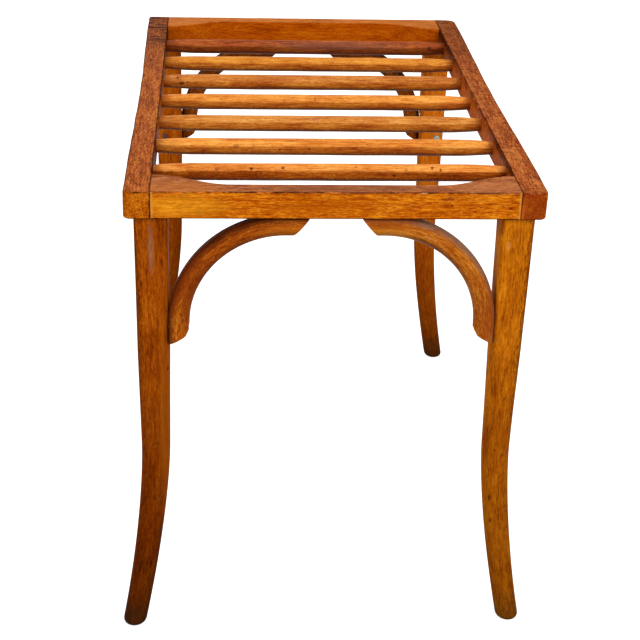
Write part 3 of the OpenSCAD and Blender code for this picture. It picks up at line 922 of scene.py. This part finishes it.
rungLook = {
    # the lighter top tones are a painted highlight of light from above
    "side": ("#80340a", "#ae5a16", "#cc802e"), "top": ("#b85e1c", "#da8434", "#f2aa50"),
    "topShare": 1.0, "topFrom": 0.12, "topTo": 0.5, "underShadeTone": "#4a1804", "underShadeShare": 0.85,
    "socketShadeShare": 0.5, "rough": 0.45, "shine": 0.03, "speckShare": 0.25, "poreShare": 0.35,
    "streakShare": 0.6, "streakScale": (900, 900, 30),
    "mottleShare": 0.6, "mottleScale": (700, 700, 110), "patchShare": 0.5,
}
rungPith = {"away": 0.02, "turn": 2.1}  # radians from rung to rung
# each rung's top tones below are part of its painted highlight
rungLooks = {
    1: {"side": ("#642204", "#8e3e06", "#b05c0e"), "top": ("#b45c1c", "#d88032", "#f2a852"),
        "topFrom": 0.25, "topTo": 0.6,
        "marks": [
            ((-0.0806, -0.2380, 0.4967), (0.0036, 0.0030, 0.0030), "#8a4428", 0.5, 0),
            ((-0.0806, -0.2380, 0.4967), (0.0019, 0.0020, 0.0020), "#1c0806", 0.95, 1.5),
            ((-0.0489, -0.2371, 0.4976), (0.0034, 0.0028, 0.0028), "#8a4428", 0.4, 0),
            ((-0.0489, -0.2371, 0.4976), (0.0017, 0.0018, 0.0018), "#3c120a", 0.9, 0.8),
            ((-0.1157, -0.2386, 0.4958), (0.0030, 0.0025, 0.0025), "#7a3c20", 0.6, 0),
            ((0.0250, -0.2355, 0.4988), (0.0010, 0.0022, 0.0022), "#8a4420", 0.6, 0),
            ((0.0759, -0.2382, 0.4964), (0.0020, 0.0025, 0.0025), "#8a4420", 0.6, 0.4),
            ((0.0639, -0.2400, 0.4906), (0.0025, 0.0022, 0.0022), "#2c0e06", 0.8, 0),
            ((0.1025, -0.2364, 0.4982), (0.0018, 0.0028, 0.0028), "#50180c", 0.85, 0.8),
            ((0.1110, -0.2379, 0.4967), (0.0015, 0.0020, 0.0020), "#50180c", 0.75, 0.5),
        ]},
    2: {"marks": [
            ((-0.0491, -0.1630, 0.4906), (0.0018, 0.0022, 0.0024), "#50180c", 0.75, 0.6),
            ((-0.0177, -0.1630, 0.4915), (0.0016, 0.0020, 0.0022), "#50180c", 0.65, 0.5),
            ((-0.0951, -0.1622, 0.4948), (0.0040, 0.0026, 0.0026), "#8a4428", 0.5, 0),
            ((-0.1293, -0.1626, 0.4883), (0.0032, 0.0026, 0.0026), "#6a2c14", 0.6, 0),
        ]},
    3: {"top": ("#ac5a1e", "#ca7e36", "#e0a052"),
        "marks": [
            ((-0.0085, -0.0826, 0.4980), (0.0042, 0.0030, 0.0030), "#a0644c", 0.6, 0),
        ]},
    4: {"marks": [
            ((-0.0027, -0.0070, 0.4967), (0.0014, 0.0036, 0.0036), "#7a3418", 0.65, 0.4),
        ]},
    5: {"top": ("#9c4c1e", "#c0702e", "#dc9448"),
        "marks": [
            ((-0.1566, 0.0680, 0.4911), (0.0050, 0.0035, 0.0035), "#3c120a", 0.85, 0.8),
            ((-0.1613, 0.0709, 0.4976), (0.0024, 0.0026, 0.0026), "#50180c", 0.75, 0),
            ((-0.1500, 0.0685, 0.4930), (0.0018, 0.0022, 0.0022), "#50180c", 0.75, 0),
            ((0.1451, 0.0699, 0.4965), (0.0022, 0.0026, 0.0026), "#9a5030", 0.6, 0),
        ]},
    6: {"top": ("#b05a18", "#d0802c", "#e8a044")},
    7: {"top": ("#6a2c0c", "#9e4a22", "#be6a32"), "side": ("#461804", "#702e0a", "#8c4814"),
        "speckShare": 0.05,
        "marks": [
            ((0.1591, 0.2226, 0.4943), (0.0035, 0.0030, 0.0030), "#34100a", 0.85, 0.6),
            ((0.0400, 0.2240, 0.4960), (0.1100, 0.0080, 0.0080), "#6a4236", 0.55, 0),
        ]},
}
for number in range(1, rung["count"] + 1):
    turn = number * rungPith["turn"]
    pith = (rungPith["away"] * math.cos(turn), rungPith["away"] * math.sin(turn))
    changes = {**rungLook, **rungLooks[number], "pith": pith, "seed": seedOf("rung", number)}
    rungPiece(number, woodFinish(f"rung_{number}", changes))
print("rungs made")

legLook = {
    "footShare": 0.75, "lowShare": 1.0, "pith": (0.03, 0.04), "poreShare": 0.22,
    "speckShare": 0.12, "mottleShare": 0.5, "streakShare": 0.5,
    "edgeTone": "#5a2204", "edgeShare": 0.4,
}
legLooks = {
    "front_left": {
        "side": ("#622402", "#964204", "#b65e0c"),
        "marks": [
            # painted shade down the left side
            ((-0.1985, -0.3220, 0.3600), (0.0110, 0.040, 0.2000), "#341002", 0.55, 0),
            # painted light down the right half
            ((-0.1650, -0.3220, 0.2300), (0.0120, 0.040, 0.2000), "#b86414", 0.35, 0),
            # a painted sheen near the top
            ((-0.1792, -0.3175, 0.4420), (0.0038, 0.010, 0.0340), "#8e7054", 0.4, 0),
            ((-0.1650, -0.3170, 0.3094), (0.0016, 0.012, 0.0045), "#3c1404", 0.85, 0.8),
            ((-0.1689, -0.3170, 0.4284), (0.0012, 0.012, 0.0060), "#5a2004", 0.7, 0),
            ((-0.1897, -0.3170, 0.4061), (0.0020, 0.012, 0.0060), "#50200a", 0.7, 0),
            ((-0.1667, -0.3170, 0.3471), (0.0012, 0.012, 0.0050), "#6a2c0a", 0.6, 0),
            ((-0.1763, -0.3170, 0.2248), (0.0014, 0.012, 0.0050), "#4a1c06", 0.6, 0),
            ((-0.1807, -0.3170, 0.1583), (0.0016, 0.012, 0.0050), "#4a1006", 0.7, 0),
            ((-0.1863, -0.3200, 0.0783), (0.0018, 0.012, 0.0060), "#380c08", 0.7, 0),
            ((-0.1861, -0.3220, 0.0418), (0.0014, 0.012, 0.0020), "#200604", 0.9, 1),
        ]},
    "front_right": {
        "side": ("#8a3e04", "#bc660a", "#dc8614"),
        "patchShare": 0.5, "lowShare": 0.7, "footShare": 0.5,
        "marks": [
            # painted shade down the right side
            ((0.1980, -0.3220, 0.3300), (0.0120, 0.040, 0.2500), "#5e2206", 0.7, 0),
            ((0.1750, -0.3170, 0.2250), (0.0500, 0.040, 0.0600), "#7a3004", 0.25, 0),
            ((0.1608, -0.3170, 0.4668), (0.0040, 0.012, 0.0160), "#8a4408", 0.5, 0),
            ((0.1707, -0.3170, 0.4467), (0.0030, 0.012, 0.0060), "#dca868", 0.25, 0),
            ((0.1806, -0.3170, 0.2748), (0.0012, 0.012, 0.0030), "#4a1c06", 0.8, 0.6),
            ((0.1762, -0.3170, 0.2132), (0.0012, 0.012, 0.0022), "#4a1c06", 0.8, 0.6),
            ((0.1849, -0.3170, 0.2062), (0.0014, 0.012, 0.0040), "#5a240a", 0.7, 0),
            ((0.1747, -0.3170, 0.1531), (0.0014, 0.012, 0.0060), "#4a1c06", 0.8, 0.6),
            ((0.1775, -0.3170, 0.1254), (0.0014, 0.012, 0.0040), "#4a1c06", 0.8, 0),
        ]},
    "back_left": {"side": ("#7e3004", "#ae5006", "#c86c0c")},
    "back_right": {"side": ("#9a4206", "#d0660e", "#e4881a")},
}
for number, (corner, (side, end)) in enumerate(corners.items()):
    changes = {**legLook, **legLooks[corner], "seed": seedOf("leg", number)}
    legPiece(side, end, f"leg_{corner}", woodFinish(f"leg_{corner}", changes))
print("legs made")

braceLook = {
    "edgeFrom": 0.5, "edgeTo": 0.95, "edgeShare": 0.85, "mottleShare": 0.5, "streakShare": 0.6,
    "rough": 0.42, "shine": 0.01,
}
backBraceLook = {"side": ("#561c04", "#803a08", "#a05410"), "edgeTone": "#2a0a06"}
braceLooks = {
    "front_left": {
        "side": ("#66240a", "#9e480a", "#c06812"),
        # a dark band along the outer side: painted shade
        "edgeTone": "#2e0c06", "edgeFrom": 0.62, "edgeTo": 1.0, "rubFrom": 0.0, "rubTo": 0.35,
        "marks": [
            # painted light on the upper part
            ((-0.0450, -0.3100, 0.4550), (0.0450, 0.030, 0.0200), "#c06c18", 0.45, 0),
            # painted shade on the lower end
            ((-0.1450, -0.3100, 0.4050), (0.0450, 0.030, 0.0500), "#702a08", 0.5, 0),
        ]},
    "front_right": {
        "side": ("#7a3004", "#ae5a0c", "#ce8028"),
        # a pale band along the outer side: painted sheen over grey dust
        "edgeTone": "#806450", "edgeFrom": 0.7, "edgeTo": 0.98, "rubFrom": 0.25, "rubTo": 0.55,
        # its pale specks are partly painted glints
        "speckShare": 0.25, "speckTone": "#e8b878", "shine": 0.03,
        "marks": [
            # painted light on the upper part
            ((0.0450, -0.3100, 0.4550), (0.0450, 0.030, 0.0200), "#de8a28", 0.45, 0),
            # painted shade under the rail
            ((0.0480, -0.3100, 0.4740), (0.0460, 0.030, 0.0120), "#8e400c", 0.8, 0),
            # painted shade on the lower end
            ((0.1640, -0.3100, 0.3750), (0.0340, 0.030, 0.0600), "#8a3c0a", 0.8, 0),
        ]},
    "back_left": backBraceLook,
    "back_right": backBraceLook,
}
for number, (corner, (side, end)) in enumerate(corners.items()):
    changes = {**braceLook, **braceLooks[corner], "seed": seedOf("brace", number)}
    bracePiece(side, end, f"brace_{corner}", woodFinish(f"brace_{corner}", changes))
print("braces made")

# the fasteners keep their CAD shapes
dowelWood = woodFinish("dowel_wood", {"side": ("#a07848", "#c8a070", "#dcbc90"), "rough": 0.6})
brass = metalFinish("screw_brass", {"base": "#c8a050", "film": "#6a4a20"})
steel = metalFinish("screw_steel", {"agedShare": 1})
fasteners = {
    "rail_dowels": dowelWood, "leg_dowels": dowelWood, "brace_screws": brass, "leg_screws": steel,
}
for node, finish in fasteners.items():
    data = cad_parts[node].data
    data.materials.clear()
    data.materials.append(finish)
print("fasteners finished")


# floor, light and background

studio = {
    "worldLight": 0.45,
    "keyPlace": (1.4, -2.5, 2.1), "keySize": 1.6, "keyWatts": 56,
    "fillPlace": (-1.9, -1.8, 1.5), "fillSize": 1.8, "fillWatts": 28,
    "overPlace": (0.2, 0.6, 3.2), "overSize": 2.0, "overWatts": 26,
    "backPlace": (-1.0, 2.6, 1.2), "backSize": 1.8, "backWatts": 16,
    "target": (0, 0, 0.32),
    "floorSize": 12, "floorPaint": 0.7, "floorGlow": 0.72,
    "floorBounce": 0.4,  # what the floor throws back at the rack
}


def softLamp(name, place, size, watts):
    data = bpy.data.lights.new(name, "AREA")
    data.shape = "DISK"
    data.size = size
    data.energy = watts
    lamp = bpy.data.objects.new(name, data)
    scene.collection.objects.link(lamp)
    towards = Vector(studio["target"]) - Vector(place)
    turn = towards.to_track_quat("-Z", "Y").to_matrix().to_4x4()
    lamp.matrix_world = Matrix.Translation(place) @ turn


def seenRays(f):  # 1 where the camera, a reflection or glass looks
    path = f.node("ShaderNodeLightPath", {}, {}, "Is Camera Ray")
    rays = f.maths("MAXIMUM", path, path.out("Is Glossy Ray"))
    return f.maths("MAXIMUM", rays, path.out("Is Transmission Ray"))


def grey(share):
    return [share, share, share, 1]


def floorPiece():
    bm = bmesh.new()
    bmesh.ops.create_grid(bm, x_segments=1, y_segments=1, size=studio["floorSize"])
    mesh = bpy.data.meshes.new("floor")
    bm.to_mesh(mesh)
    bm.free()
    floor = bpy.data.objects.new("floor", mesh)
    scene.collection.objects.link(floor)
    f = Finish("pale_floor")
    bounce = f.node("ShaderNodeBsdfDiffuse", {}, {"Color": grey(studio["floorBounce"])})
    paint = f.node("ShaderNodeBsdfDiffuse", {}, {"Color": grey(studio["floorPaint"])})
    glow = f.node("ShaderNodeEmission", {}, {"Strength": studio["floorGlow"]})
    pale = f.node("ShaderNodeAddShader", {}, {0: paint, 1: glow})
    above = f.node("ShaderNodeMixShader", {}, {0: seenRays(f), 1: bounce, 2: pale})
    clear = f.node("ShaderNodeBsdfTransparent", {}, {})
    below = f.node("ShaderNodeNewGeometry", {}, {}, "Backfacing")
    both = f.node("ShaderNodeMixShader", {}, {0: below, 1: above, 2: clear})
    f.node("ShaderNodeOutputMaterial", {}, {"Surface": both})
    mesh.materials.append(f.material)


def worldLight():
    world = bpy.data.worlds.new("studio")
    world.use_nodes = True
    scene.world = world
    f = Finish("studio", world.node_tree)
    light = f.node("ShaderNodeBackground", {}, {
        "Color": grey(1), "Strength": studio["worldLight"]})
    white = f.node("ShaderNodeBackground", {}, {"Color": grey(1), "Strength": 1})
    both = f.node("ShaderNodeMixShader", {}, {0: seenRays(f), 1: light, 2: white})
    f.node("ShaderNodeOutputWorld", {}, {"Surface": both})


floorPiece()
worldLight()
for lamp in ("key", "fill", "over", "back"):
    softLamp(lamp, studio[lamp + "Place"], studio[lamp + "Size"], studio[lamp + "Watts"])
scene.view_settings.view_transform = "Standard"
print("studio lit")
